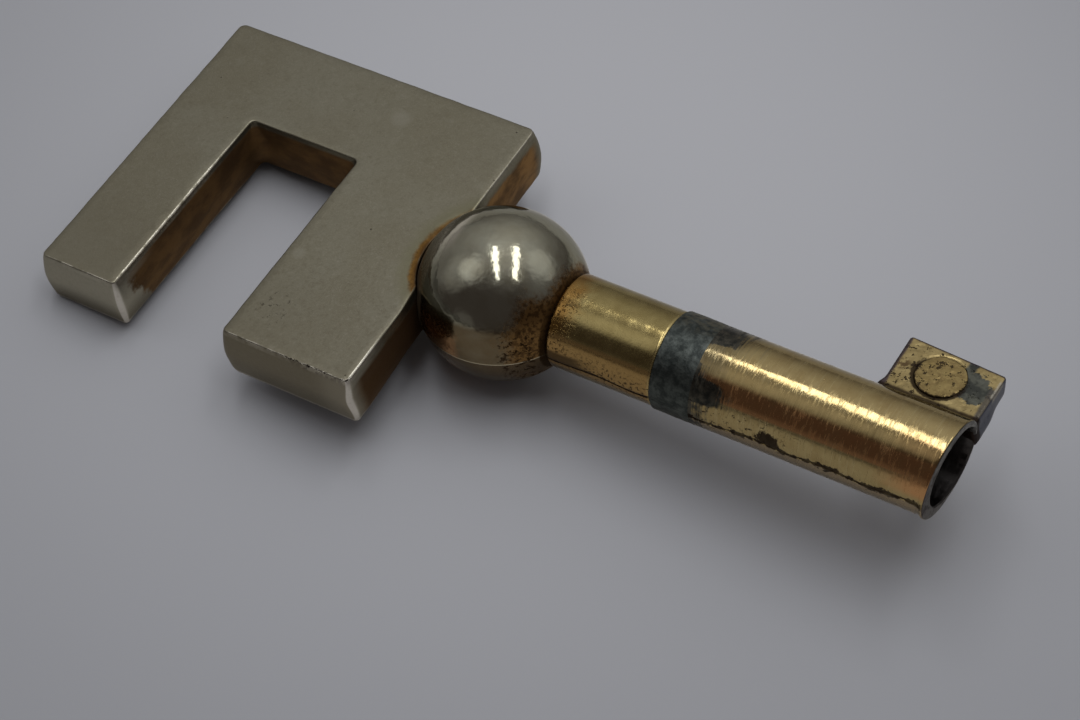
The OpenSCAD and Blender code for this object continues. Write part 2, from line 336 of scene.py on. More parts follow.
# -------- the turned pieces
def make_ball(material):
    """Two shells that meet in a small step just below the middle plane."""
    step = degrees(asin(SHELL_STEP_Z / BALL_R))
    near = [step + d for d in (1.2, 0.7, 0.35, 0.12, -0.12, -0.35, -0.7, -1.2)]
    even = [lat for lat in range(88, -90, -2) if abs(lat - step) > 1.6]
    lats = sorted(even + near, reverse=True)
    points, faces = [(BALL_X, 0, BALL_R - 0.01)], []
    n = 180
    for lat in lats:
        lower = smooth(lat, step + 0.2, step - 0.4)
        lip = 0.018 * smooth(abs(lat - step - 0.5), 0.7, 0.2)
        for i in range(n):
            a = radians(360 * i / n)
            t = radians(lat)
            x, y, z = cos(t) * cos(a), cos(t) * sin(a), sin(t)
            dented = 0.01 * rough(x, y, z, 2.2, 2) + 0.004 * rough(x, y, z, 6, 2)
            r = BALL_R - BALL_SKIN + dented + lip - SHELL_STEP * lower
            points.append((BALL_X + r * x, r * y, r * z))
    last = len(points)
    points.append((BALL_X, 0, -BALL_R + 0.01))
    for i in range(n):
        faces.append((0, 1 + i, 1 + (i + 1) % n))
        faces.append((last, last - n + (i + 1) % n, last - n + i))
    for k in range(len(lats) - 1):
        strip(faces, 1 + (k + 1) * n, 1 + k * n, n)
    return piece("ball_detailed", points, faces, material, "ball_collar")


def seam_turn(x):
    """How far below the middle plane the near side's seam runs, in radians round the axis."""
    return SEAM_DRIFT * smooth(x, -11, -16) + SEAM_WAVE * sin(SEAM_RATE * x)


def seam(x, angle, half):
    """The two seams' grooves and the small step under them, as a change of radius."""
    y, z = cos(angle), sin(angle)
    off = 0
    for here in (atan2(-z, -y), atan2(-z, y)):
        if abs(here) < 0.3:
            arc = (here - seam_turn(x)) * PIPE_R
            ragged = half * (1 + 0.6 * rough(x, here, 4, 2.2))
            off -= SEAM_DEPTH * smooth(abs(arc), ragged, ragged * 0.4)
    return off - 0.02 * smooth(z, 0, -0.1)


def make_sleeve(material):
    r = 0.3
    rear = BALL_X + sqrt(SEAT_R**2 - (SLEEVE_R - r) ** 2)
    profile = [(BALL_X + 5.95, INNER_R), (rear + 0.02, SLEEVE_R - r - 0.3)]
    profile += [(rear + r - x, SLEEVE_R - r + y) for x, y in quarter(0, 0, r, 0, 90, 9)]
    profile += [(x, SLEEVE_R) for x in steps(rear + r + 0.15, SLEEVE_FRONT_X - 0.1, 0.15)]
    profile += [(SLEEVE_FRONT_X - 0.08, SLEEVE_R), (SLEEVE_FRONT_X, SLEEVE_R - 0.06)]
    profile += [(SLEEVE_FRONT_X, INNER_R)]

    def bump(x, r, a):
        if r < SLEEVE_R - 0.3:
            return 0
        worn = 0.006 * rough(x, cos(a), sin(a), 1.2)
        return worn - 0.008 + seam(x, a, SEAM_HALF) * smooth(r, SLEEVE_R - 0.3, SLEEVE_R)

    return lathe("sleeve_detailed", profile, bump, material, "shoulder_sleeve")


def make_band(material):
    inner = PIPE_R - 0.26
    profile = [(PIPE_REAR_X, inner), (PIPE_REAR_X, PIPE_R - 0.05), (PIPE_REAR_X + 0.05, PIPE_R)]
    profile += [(x, PIPE_R) for x in steps(PIPE_REAR_X + 0.15, BAND_FRONT_X, 0.12)]
    profile += [(BAND_FRONT_X, PIPE_R - 0.01), (BAND_FRONT_X, inner)]

    def bump(x, r, a):
        if r <= inner:
            return 0
        y, z = PIPE_R * cos(a), PIPE_R * sin(a)
        uneven = 0.022 * rough(x, y, z, 1.4, 4) * smooth(BAND_FRONT_X - x, 0, 0.5)
        return uneven + 0.02 * smooth(BAND_FRONT_X - x, 0, 1) + seam(x, a, SEAM_HALF * 1.2)

    return lathe("band_detailed", profile, bump, material, "solder_band")


def front_x(y, z):
    """Where the face of the mouth and the bit's front edge lie."""
    across = FRONT_Y * min(y, PIPE_R)
    return FRONT_LEAD + across + FRONT_EDGE_Y * max(0, y - PIPE_R) + FRONT_Z * z


def make_pipe(material):
    lip, bevel = 0.13, 0.1
    under_band = PIPE_R - 0.3
    profile = [(PIPE_REAR_X, INNER_R), (PIPE_REAR_X, under_band), (BAND_FRONT_X, under_band)]
    profile += [(x, PIPE_R) for x in steps(BAND_FRONT_X, -lip, 0.12)]
    profile += [(x - lip, PIPE_R - lip + y) for x, y in quarter(0, 0, lip, 90, -90)]
    profile += [(0, BORE_R + bevel), (-bevel, BORE_R)]
    profile += [(x, BORE_R) for x in (-0.6, -1.5, -3, -6, -9, -12)]
    profile += [(-BORE_DEPTH, BORE_R), (-BORE_DEPTH, INNER_R)]

    def bump(x, r, a):
        if x < BAND_FRONT_X + 0.01:
            return 0
        if r < BORE_R + bevel + 0.01:
            shift = BORE_SHIFT[0] * cos(a) + BORE_SHIFT[1] * sin(a)
            ragged = 0.07 * rough(0, 3 * cos(a), 3 * sin(a), 0.9)
            return (shift + ragged) * smooth(x, -3, 0)
        y, z = PIPE_R * cos(a), PIPE_R * sin(a)
        worn = 0.005 * rough(x, y, z, 0.8) + 0.002 * rough(5 * x, 0.3 * y, 0.3 * z, 1.5)
        burr = smooth(cos(a - MOUTH_BURR_TURN), 0.5, 0.95) * smooth(x, -0.55, -0.05)
        return worn + MOUTH_BURR * burr + seam(x, a, SEAM_HALF * 0.9) * smooth(x, -0.05, -0.3)

    def slide(x, y, z):
        return front_x(y, z) * smooth(x, -2.5, 0)

    return lathe("pipe_detailed", profile, bump, material, "pipe", slide)


# -------- the bit and its plug
def bit_half_t(y):
    """Half the bit's thickness at a distance from the pipe's axis."""
    taper = BIT_EDGE_HALF_T - BIT_ROOT_HALF_T
    return BIT_ROOT_HALF_T + taper * (y - PIPE_R) / (BIT_EDGE_Y - PIPE_R)


def plug_ring(width):
    """A circle round the plug with a ragged gap of about width."""
    out = []
    n = 96
    for i in range(n):
        a = 2 * pi * i / n
        broad = smooth(cos(a - PLUG_GAP), 0.1, 1)
        ragged = rough(cos(a), sin(a), 2, 2.2)
        r = PLUG_R + width * (0.35 + 0.9 * broad + 0.8 * max(-0.3, ragged))
        out.append((PLUG_X + r * cos(a), PLUG_Y + r * sin(a)))
    return out


def make_bit(material):
    def outline(inset):
        r = BIT_CORNER_R - inset * 0.5
        rear_y, front_y = BIT_EDGE_Y - inset, BIT_EDGE_Y - BIT_DROP - inset
        root, front = front_x(BIT_ROOT_Y, 0) - inset, front_x(front_y, 0) - inset
        rear = BIT_REAR_X + inset
        return (
            line(rear, BIT_ROOT_Y - 0.01, root, BIT_ROOT_Y - 0.01, 44)
            + line(root, BIT_ROOT_Y, front, front_y - r, 30)
            + quarter(front - r, front_y - r, r, 0)
            + line(front - r, front_y, rear + r, rear_y, 40)
            + quarter(rear + r, rear_y - r, r, 90)
            + line(rear, rear_y - r, rear, BIT_ROOT_Y, 32)
        )

    def surface(x, y):
        pit = 0.02 * smooth(rough(x, y, 3, 2.2, 4), 0.25, 0.6)
        return bit_half_t(y) - BIT_SKIN - pit + 0.006 * rough(x, y, 7, 0.9)

    points, faces = [], []
    levels = [(0, 0), (0.5, 0), (0.8, 0.01), (0.9, 0.03), (0.96, 0.07), (1, 0.14)]
    levels = [(-h, inset) for h, inset in levels[:0:-1]] + levels
    holes = [(-1, 0.16), (-0.93, 0.02), (0.93, 0.02), (1, 0.16)]
    n = len(outline(0))
    for h, inset in levels:
        for x, y in outline(inset):
            z = h * (bit_half_t(y) - BIT_SKIN)
            out = 0.012 * rough(x, y, h, 1.6)
            flare = 0.25 * smooth(x, BIT_REAR_X + 0.5, BIT_REAR_X)
            flare *= smooth(y, PIPE_R + 0.9, PIPE_R)
            burr = 0.18 * smooth(z, 0.1, -0.8) * smooth(abs(y - 4.4), 2.2, 0.6)
            x += (FRONT_Z * z + burr) * smooth(x, -0.6, 0.1) - flare + out * 0.5
            points.append((x, y + out, z))
    for k in range(len(levels) - 1):
        strip(faces, k * n, (k + 1) * n, n)
    hole_at = len(points)
    m = len(plug_ring(0))
    for h, width in holes:
        points += [(x, y, h * (bit_half_t(y) - BIT_SKIN)) for x, y in plug_ring(width)]
    for k in range(len(holes) - 1):
        strip(faces, hole_at + (k + 1) * m, hole_at + k * m, m)
    ends = ((1, (len(levels) - 1) * n, hole_at + (len(holes) - 1) * m), (-1, 0, hole_at))
    for side, first, hole in ends:
        rings = [list(range(first, first + n)), list(range(hole, hole + m))]
        cap(points, faces, rings, 0.11, side, surface)
    return piece("bit_detailed", points, faces, material, "bit", 50)


def make_plug(material):
    faces = []
    n = 72
    shares = (0.12, 0.24, 0.36, 0.48, 0.6, 0.72, 0.83, 0.92, 0.975, 1, 1)
    radii = [PLUG_R * share for share in shares]
    t = bit_half_t(PLUG_Y) + PLUG_PROUD
    points = [(PLUG_X, PLUG_Y, t), (PLUG_X, PLUG_Y, -t)]
    for side in (1, -1):
        for k, r in enumerate(radii):
            for i in range(n):
                a = 2 * pi * i / n
                x, y = PLUG_X + r * cos(a), PLUG_Y + r * sin(a)
                pitted = 0.03 * smooth(rough(x, y, side * 5, 2.6, 4), 0.1, 0.6)
                open_here = 0.3 + 0.7 * smooth(cos(a - PLUG_GAP), -0.2, 0.8)
                rounded = (0, 0.04, 0.22 * open_here)[max(0, k - 8)]
                t = bit_half_t(y) + PLUG_PROUD - pitted - rounded
                points.append((x, y, side * t))
    for s in range(2):
        base = 2 + s * len(radii) * n
        for i in range(n):
            tri = (s, base + i, base + (i + 1) % n)
            faces.append(tri if s == 0 else tri[::-1])
        for k in range(len(radii) - 1):
            first, second = base + k * n, base + (k + 1) * n
            strip(faces, *((second, first) if s == 0 else (first, second)), n)
    top_rim = 2 + (len(radii) - 1) * n
    strip(faces, top_rim + len(radii) * n, top_rim, n)
    return piece("plug_detailed", points, faces, material, "bit_plug")


# -------- node trees
class Val:
    """A number or colour that a node tree works out at each point of a surface."""

    def __init__(self, nodes, socket):
        self.nodes, self.socket = nodes, socket

    def __add__(self, o):
        return self.nodes.math("ADD", self, o)

    def __sub__(self, o):
        return self.nodes.math("SUBTRACT", self, o)

    def __rsub__(self, o):
        return self.nodes.math("SUBTRACT", o, self)

    def __mul__(self, o):
        return self.nodes.math("MULTIPLY", self, o)

    def __pow__(self, o):
        return self.nodes.math("POWER", self, o)

    def __abs__(self):
        return self.nodes.math("ABSOLUTE", self)

    __radd__, __rmul__ = __add__, __mul__

    def low(self, o):
        return self.nodes.math("MINIMUM", self, o)

    def high(self, o):
        return self.nodes.math("MAXIMUM", self, o)

    def rise(self, low, high):
        """0 at low, 1 at high, and an S-shaped rise between them. low may be above high."""
        node = self.nodes.node("ShaderNodeMapRange", interpolation_type="SMOOTHSTEP")
        self.nodes.put(self, node.inputs["Value"])
        node.inputs["From Min"].default_value = low
        node.inputs["From Max"].default_value = high
        return Val(self.nodes, node.outputs["Result"])

    def band(self, low, high, soft):
        """1 between low and high, fading to 0 over soft outside them."""
        return self.rise(low - soft, low) * self.rise(high + soft, high)


class Nodes:
    """A node tree in the making."""

    def __init__(self, tree):
        self.tree = tree

    def node(self, kind, **settings):
        made = self.tree.nodes.new(kind)
        for key, value in settings.items():
            setattr(made, key, value)
        return made

    def put(self, value, socket):
        """Links a Val or another node's output to a socket, or sets it to a constant."""
        if isinstance(value, Val):
            value = value.socket
        if isinstance(value, bpy.types.NodeSocket):
            self.tree.links.new(value, socket)
        else:
            socket.default_value = value

    def math(self, operation, a, b=0.0):
        node = self.node("ShaderNodeMath", operation=operation)
        self.put(a, node.inputs[0])
        if operation not in ("ABSOLUTE", "SINE"):
            self.put(b, node.inputs[1])
        return Val(self, node.outputs[0])

    def tint(self, a, b, share):
        """Colour a where share is 0 and b where it is 1."""
        node = self.node("ShaderNodeMix", data_type="RGBA")
        self.put(share, node.inputs["Factor"])
        for value, socket in ((a, node.inputs[6]), (b, node.inputs[7])):
            self.put(value if isinstance(value, Val) else (*value, 1.0), socket)
        return Val(self, node.outputs[2])


def length(a, b):
    """The distance of the place (a, b) from (0, 0)."""
    return (a * a + b * b) ** 0.5


class Made(Nodes):
    """A material in the making. Positions in it are in millimetres in the part's frame."""

    def __init__(self, name, color):
        self.color = color
        self.material = bpy.data.materials.new(name)
        self.material.use_nodes = True
        super().__init__(self.material.node_tree)
        self.shader = self.tree.nodes["Principled BSDF"]
        scaled = self.node("ShaderNodeVectorMath", operation="SCALE")
        self.put(self.node("ShaderNodeTexCoord").outputs["Object"], scaled.inputs[0])
        scaled.inputs["Scale"].default_value = 1 / MM
        self.place = scaled.outputs["Vector"]
        self.x, self.y, self.z = self.parts(self.place)
        facing = self.node("ShaderNodeNewGeometry").outputs["Normal"]
        self.nx, _, self.nz = self.parts(facing)

    def parts(self, socket):
        node = self.node("ShaderNodeSeparateXYZ")
        self.put(socket, node.inputs[0])
        return [Val(self, out) for out in node.outputs]

    def turn(self):
        """Angle round the pipe's axis in radians: 0 on the -Y side, and below 0 towards +Z."""
        return self.math("ARCTAN2", self.z * -1, self.y * -1)

    def off_axis(self):
        return length(self.y, self.z)

    def seam(self, turn):
        """Distance from the seam in millimetres, below 0 above it. It matches seam_turn."""
        wander = self.x.rise(-11, -16) * SEAM_DRIFT
        wander = wander + self.math("SINE", self.x * SEAM_RATE) * SEAM_WAVE
        return (turn - wander) * PIPE_R

    def vector(self, x, y, z):
        node = self.node("ShaderNodeCombineXYZ")
        for value, socket in zip((x, y, z), node.inputs):
            self.put(value, socket)
        return node.outputs[0]

    def noise(self, scale, detail=3, gain=0.55, at=None):
        """Noise from 0 to 1 round 0.5, its features about 1 / scale mm wide."""
        node = self.node("ShaderNodeTexNoise")
        self.put(at or self.place, node.inputs["Vector"])
        for key, value in (("Scale", scale), ("Detail", detail), ("Roughness", gain)):
            node.inputs[key].default_value = value
        return Val(self, node.outputs["Fac"])

    def scratches(self, across, along=0.35):
        """Noise drawn out round the pipe's axis, its lines about 1 / across mm apart."""
        way = self.vector(self.x * across, self.y * along, self.z * along)
        return self.noise(1, 3, 0.6, way)

    def pits(self, scale, size, share, at=None):
        """1 inside pits. size is their radius in cells, share the part of cells with one."""
        node = self.node("ShaderNodeTexVoronoi")
        self.put(at or self.place, node.inputs["Vector"])
        node.inputs["Scale"].default_value = scale
        pick = self.parts(node.outputs["Color"])[0]
        dots = Val(self, node.outputs["Distance"]).rise(size, size * 0.5)
        return dots * pick.rise(1 - share, 1.02 - share)

    def spot(self, x, y, radius, soft):
        """1 within a round spot on a flat face, fading over soft."""
        return length(self.x - x, self.y - y).rise(radius + soft, radius)

    def paint(self, color, share):
        """Lays a colour over those before it, covering them where share is 1."""
        self.color = self.tint(self.color, color, share)

    def bump(self, height, depth, under=None):
        """A bump map: height from 0 to 1 stands for depth millimetres."""
        node = self.node("ShaderNodeBump")
        node.inputs["Distance"].default_value = depth * MM
        self.put(height, node.inputs["Height"])
        if under:
            self.put(under, node.inputs["Normal"])
        return node.outputs["Normal"]

    def finish(self, roughness, normal=None, metal=1.0):
        values = {"Base Color": self.color, "Roughness": roughness, "Metallic": metal}
        for key, value in values.items():
            self.put(value, self.shader.inputs[key])
        self.shader.inputs["Specular Tint"].default_value = EDGE_TINT
        if normal:
            self.put(normal, self.shader.inputs["Normal"])
        return self.material


# -------- finishes, in linear colours
RUST = (0.135, 0.078, 0.033)
# Also used for painted shade low on the sleeve by the ball
DIRT_AND_SHADE = (0.016, 0.01, 0.007)  # the dirt in corners, seams and pits
EDGE_TINT = (0.65, 0.65, 0.65, 1)  # keeps metal from turning white where it is seen edge on


def bow_nickel():
    """Satin nickel, pitted, blotched and rubbed at the edges, with brown tarnish in the slot,
    on the front face and round the ball. Its edges and corners also get painted highlights,
    the legs' ends painted light and shade, and the front face painted shade."""
    m = Made("satin_nickel", (0.131, 0.121, 0.088))
    upward = abs(m.nz)
    fine, mid = m.noise(4.2, 4), m.noise(1.1)
    grain = m.noise(9, 2, 0.6)
    m.paint((0.143, 0.135, 0.102), m.noise(0.13, 2).rise(0.36, 0.64))
    m.paint((0.108, 0.097, 0.07), fine.rise(0.5, 0.75) * 0.5)
    m.paint((0.16, 0.152, 0.12), mid.rise(0.56, 0.8) * 0.35)
    m.paint((0.175, 0.166, 0.132), grain.rise(0.5, 0.66) * 0.35)
    flat = upward.rise(0.86, 0.985)
    side = upward.rise(0.75, 0.5)
    blotch = m.noise(2.4, 5, 0.75)
    front_leg = m.y.rise(-1, -8) * m.x.rise(-50, -47)
    m.paint((0.1, 0.089, 0.063), blotch.rise(0.5, 0.66) * (front_leg * 0.35 + 0.25))
    m.paint((0.19, 0.18, 0.146), blotch.rise(0.44, 0.34) * (front_leg * 0.3 + 0.2))
    pale_spots = ((-47.06, -4.6, 0.45), (-47.41, 9.27, 0.7))
    for x, y, size in pale_spots:
        m.paint((0.185, 0.178, 0.145), m.spot(x, y, size * 0.5, size) * flat * 0.45)

    # The legs' end faces get painted light and shade: paler on the rear leg's upper half and
    # towards the front leg's front corner, darker elsewhere. The front leg's top is pitted
    upper = m.x.rise(-55, -57) * m.z.rise(-2, 0.4)
    end = m.tint((0.118, 0.104, 0.077), (0.255, 0.243, 0.2), upper)
    end = m.tint(end, (0.2, 0.182, 0.145), m.x.rise(-41, -38.6) * 0.6)
    m.paint(end, side * (fine + 0.35).low(0.9) * m.y.rise(-8, -11))
    scraped = m.spot(-45.8, -9.5, 0.5, 2.2) * flat
    mark = m.pits(1.1, 0.08, 0.12).high(m.pits(0.42, 0.05, 0.25)) * flat
    mark = mark.high(scraped * m.noise(3, 4, 0.7).rise(0.6, 0.66) * 0.7)
    m.paint((0.05, 0.044, 0.033), mark * 0.75)

    # Tarnish round the ball
    out = length(m.x - BALL_X, m.y)
    cloudy = m.noise(1.1, 4, 0.6)
    wide = m.y.rise(3, -0.5)
    m.paint((0.122, 0.115, 0.074), (out - cloudy * 0.8).rise(7.2, 6) * flat * 0.8)
    rim = (out - cloudy * 0.8 - wide * 0.12).rise(6, 5.6) * (wide * 0.3 + 0.7) * flat
    patchy = m.noise(2, 4, 0.7).rise(0.4, 0.6)
    m.paint(m.tint((0.12, 0.066, 0.018), (0.07, 0.036, 0.01), patchy), rim)
    m.paint((0.06, 0.03, 0.009), (out - cloudy * 0.6).rise(5.9, 5.55) * flat * 0.8)
    m.paint((0.034, 0.018, 0.007), (out - cloudy * 0.4).rise(5.8, 5.6) * 0.85)
    # Darker towards -Y on the flat faces
    m.paint((0.105, 0.095, 0.069), m.y.rise(-2, -10) * flat * 0.45)

    # Tarnish in the slot and on the front face, with darker streaks along them. On the front
    # face it is also painted darker towards -Y, a painted shade
    in_slot = abs(m.x - (SLOT_REAR_X + SLOT_FRONT_X) / 2).rise(5, 4.7) * m.y.rise(5.2, 4.9)
    ragged = m.y + m.z * 0.5 + m.noise(1.1) * 2.4
    slot = in_slot * side * ragged.rise(-9.9, -9.2) * m.z.rise(2.02, 1.75)
    front = m.x.rise(BOW_FRONT_X - 0.75, BOW_FRONT_X - 0.6) * side
    front = front * abs(m.y).rise(12.4, 11.2) * (m.z + cloudy * 0.5).rise(2.05, 1.6)
    stained = slot.high(front) * (m.noise(0.9) + 0.3).rise(0.3, 0.55)
    streak = m.noise(0.8, 4, 0.6, m.vector(m.x * 0.5, m.y * 0.5, m.z * 1.1))
    shade = streak.rise(0.36, 0.66) * 0.75
    # Painted shade: the front face darker towards -Y
    shade = shade.high(front * m.y.rise(1, -5) * 0.8)
    rust = m.tint(RUST, (0.24, 0.14, 0.058), front * m.y.rise(2, 5))
    m.paint(m.tint(rust, (0.062, 0.036, 0.019), shade), stained)

    # Edges rubbed bare and painted bright as painted highlights, with a few dark chips
    edge = upward.rise(0.2, 0.5) * upward.rise(0.985, 0.9) * abs(m.z).rise(1.8, 2)
    leg_edge = m.x.band(-57.8, -56.6, 0.1) * m.y.rise(3, 1)
    end_edge = m.y.rise(-12, -12.4)
    front_edge = m.x.rise(-38.5, -38.2) * (m.y.rise(-8, -10.5) + m.y.rise(4, 6) * 0.4)
    rubbed = leg_edge.high(end_edge).high(front_edge) * edge
    rubbed = rubbed * (m.noise(1.3, 3, 0.6) + front_edge * 0.2 + 0.08).rise(0.42, 0.66)
    # Pale bare metal that also stands as a painted highlight along the edges
    bare = m.tint((0.36, 0.34, 0.29), (0.5, 0.48, 0.42), front_edge.low(1))
    m.paint(bare, rubbed * 0.8)
    chip = edge * m.noise(3.2, 3, 0.6).rise(0.47, 0.56)
    worn = m.x.band(-48.9, -48.1, 0.1) * m.y.band(-3.4, -0.8, 0.5)
    chip = chip * (end_edge * m.x.rise(-43.6, -42.4)).high(worn)
    beside = worn * flat * m.x.rise(-47.9, -48.4) * m.noise(2, 4, 0.6).rise(0.42, 0.5)
    chip = chip.high(beside * 0.7)
    m.paint(DIRT_AND_SHADE, chip * 0.9)

    # Painted highlights on the legs' upright corners and their ends' lower edges, and a pale
    # painted sheen on the upper part of the faces towards +X near the legs' ends
    upright = upward.rise(0.6, 0.3) * m.nx.band(0.5, 0.86, 0.12) * m.y.rise(-11.7, -12)
    foot_highlight = m.z.rise(-1.72, -1.95) * m.y.rise(-11.9, -12.3) * 0.6
    m.paint((0.46, 0.44, 0.41), upright.high(foot_highlight) * (fine + 0.35).low(0.85))
    wedge_highlight = m.nx.rise(0.6, 0.9) * m.z.rise(1.2, 1.6) * m.y.rise(-8, -11)
    m.paint((0.25, 0.24, 0.2), wedge_highlight * 0.5)

    roughness = 0.34 + fine * 0.12 + stained * 0.22 - rubbed * 0.14
    normal = m.bump(m.noise(6, 4, 0.7), 0.012)
    normal = m.bump(1 - mark.high(chip), 0.04, normal)
    return m.finish(roughness, normal)


def ball_nickel():
    """Polished nickel with faint scratches, tarnished where it meets the bow and the sleeve.
    Painted reflection of the bow beside it, painted bounce light on a brown stain near the bow
    and a painted highlight along the shell's lip.
    """
    m = Made("bright_nickel", (0.228, 0.225, 0.178))
    m.paint((0.198, 0.189, 0.142), m.noise(0.45).rise(0.35, 0.7))
    speck = m.noise(3.6, 4, 0.7)
    cloud = m.noise(0.8, 4, 0.6)
    near = m.y.rise(-1, -3)
    film = near * (m.z + cloud * 0.5).rise(3.3, 2.7)
    m.paint((0.098, 0.073, 0.042), film * (cloud * 0.5 + 0.68).low(1))

    # Brown round the sleeve, and wider on the near side
    to_sleeve = m.off_axis() + m.x.rise(BALL_X + 2, BALL_X) * 9 - near * 1.2
    brown = (to_sleeve - speck * 1 - cloud * 0.8).rise(3.3, 2.5)
    low_side = near * m.z.rise(3.1, 1.6)
    ends = m.x.rise(-30.8, -29.8).high(m.x.rise(-33.2, -35))
    spotted = low_side * speck.rise(0.53, 0.6) * ends
    spotted = spotted.high((to_sleeve - cloud * 2).rise(3.5, 2.4) * speck.rise(0.5, 0.58))
    m.paint((0.15, 0.086, 0.032), brown.high(spotted * 0.8))
    crust = brown * m.noise(3, 4, 0.7).rise(0.47, 0.58)
    m.paint((0.05, 0.027, 0.011), crust * 0.85)
    # A brown stain low on the near side towards the bow, painted paler as painted light bounced
    # from the bow
    stain = near * m.z.rise(2.4, 0.9) * (m.x - speck * 1.6).rise(-34, -34.9) * 0.8
    copper_stain_and_bounce = m.tint((0.4, 0.225, 0.11), (0.22, 0.115, 0.058), speck.rise(0.46, 0.62))
    m.paint(copper_stain_and_bounce, stain)
    below = m.z.rise(SHELL_STEP_Z + 0.02, SHELL_STEP_Z - 0.05)
    below = below * (cloud + 0.35).rise(0.4, 0.75) * m.z.rise(-3.6, -1.2)
    m.paint((0.07, 0.05, 0.03), below * 0.9)
    # A pale band along the upper shell's lip, a painted highlight
    lip = m.z.band(SHELL_STEP_Z + 0.01, SHELL_STEP_Z + 0.09, 0.03)
    m.paint((0.42, 0.38, 0.28), lip * 0.7)

    # Painted reflection of the bow: paler beside it and palest towards +Y; black where it sits
    # in the bow and in the sleeve's joint
    by_bow = m.x.rise(-36.9, -37.5)
    m.paint((0.3, 0.25, 0.175), by_bow * 0.8)
    m.paint((0.5, 0.47, 0.4), m.x.rise(-35.6, -36.5) * m.y.rise(-3, 0.5) * 0.85)
    black = low_side * m.noise(2.6, 4, 0.7).rise(0.53, 0.57) * m.x.band(-30.4, -29, 0.5)
    seat = by_bow * abs(m.z).rise(2.32, 2.2)
    joint = (m.off_axis() - near * 0.08 - speck * 0.25).rise(3.44, 3.28)
    joint = joint * m.x.rise(BALL_X, BALL_X + 2) * (m.z.rise(2.8, 0.5) * 0.5 + 0.5)
    dark = black.high(seat * 0.7).high(joint)
    m.paint((0.026, 0.014, 0.006), dark * 0.9)

    # Fine scratches spread part of the light
    haze = m.noise(20, 1, 0.5).rise(0.5, 0.62)
    rough_at = 0.09 + haze * 0.1 + film * 0.06 + by_bow * 0.15
    rough_at = rough_at + brown.high(spotted) * 0.2 + dark * 0.3
    normal = m.bump(m.noise(0.75, 2, 0.5), 0.045)
    normal = m.bump(m.noise(1.7, 2, 0.5), 0.01, normal)
    normal = m.bump(m.noise(4), 0.0022, normal)
    normal = m.bump(1 - dark, 0.008, normal)
    return m.finish(rough_at, normal)


def sleeve_brass():
    """Satin gilt brass, tarnished and pitted at the ball, with painted shade low on its near
    side there.
    """
    m = Made("gold_brass", (0.22, 0.176, 0.075))
    turn = m.turn()
    cloud = m.noise(0.9, 4, 0.6)
    speck = m.noise(4.5, 4, 0.7)
    m.paint((0.175, 0.136, 0.055), cloud.rise(0.3, 0.7))
    from_ball = m.x - cloud * 2.6
    m.paint((0.19, 0.106, 0.03), from_ball.rise(-27.2, -29.2) * 0.95)
    seam = m.seam(turn)
    under = seam.rise(0.1, 0.25) * turn.rise(1.2, 0.8)
    m.paint((0.19, 0.15, 0.1), under * 0.7)
    m.paint((0.225, 0.14, 0.054), turn.band(-0.56, 0.2, 0.1) * 0.85)
    low_side = seam.rise(-1.9, -0.5) * turn.rise(0.5, 0.1)
    near_side = m.y.rise(1, -1)
    pitted = low_side.high(from_ball.rise(-27, -29) * near_side) * speck.rise(0.545, 0.61)
    black = (abs(seam) - m.noise(1.6, 3, 0.6) * 0.26).rise(0.03, -0.05) * turn.rise(1.2, 0.8)
    groove = m.off_axis().rise(3.38, 3.2) * m.x.rise(-27.7, -27.9)
    groove = groove * (m.z.rise(3, 0.5) * 0.5 + 0.45)
    # Painted shade low on the near side by the ball, painted with the dark dirt colour
    painted_shade_by_ball = from_ball.rise(-25.2, -27.4) * seam.band(-0.8, 0, 0.35) * 0.75
    dark = (pitted * 0.75).high(black).high(groove).high(painted_shade_by_ball)
    m.paint(DIRT_AND_SHADE, dark)
    worn = m.x.rise(SLEEVE_FRONT_X - 0.22, SLEEVE_FRONT_X - 0.1)
    m.paint((0.36, 0.29, 0.14), worn * 0.3)
    sparkle = m.noise(5.5, 2).rise(0.62, 0.72)
    haze = m.noise(18, 1, 0.5).rise(0.54, 0.6)
    rough_at = 0.13 + haze * 0.16 + dark * 0.3 - sparkle * 0.08 + worn * 0.12
    normal = m.bump(m.noise(4, 4, 0.6), 0.006)
    normal = m.bump(1 - dark, 0.03, normal)
    return m.finish(rough_at, normal)


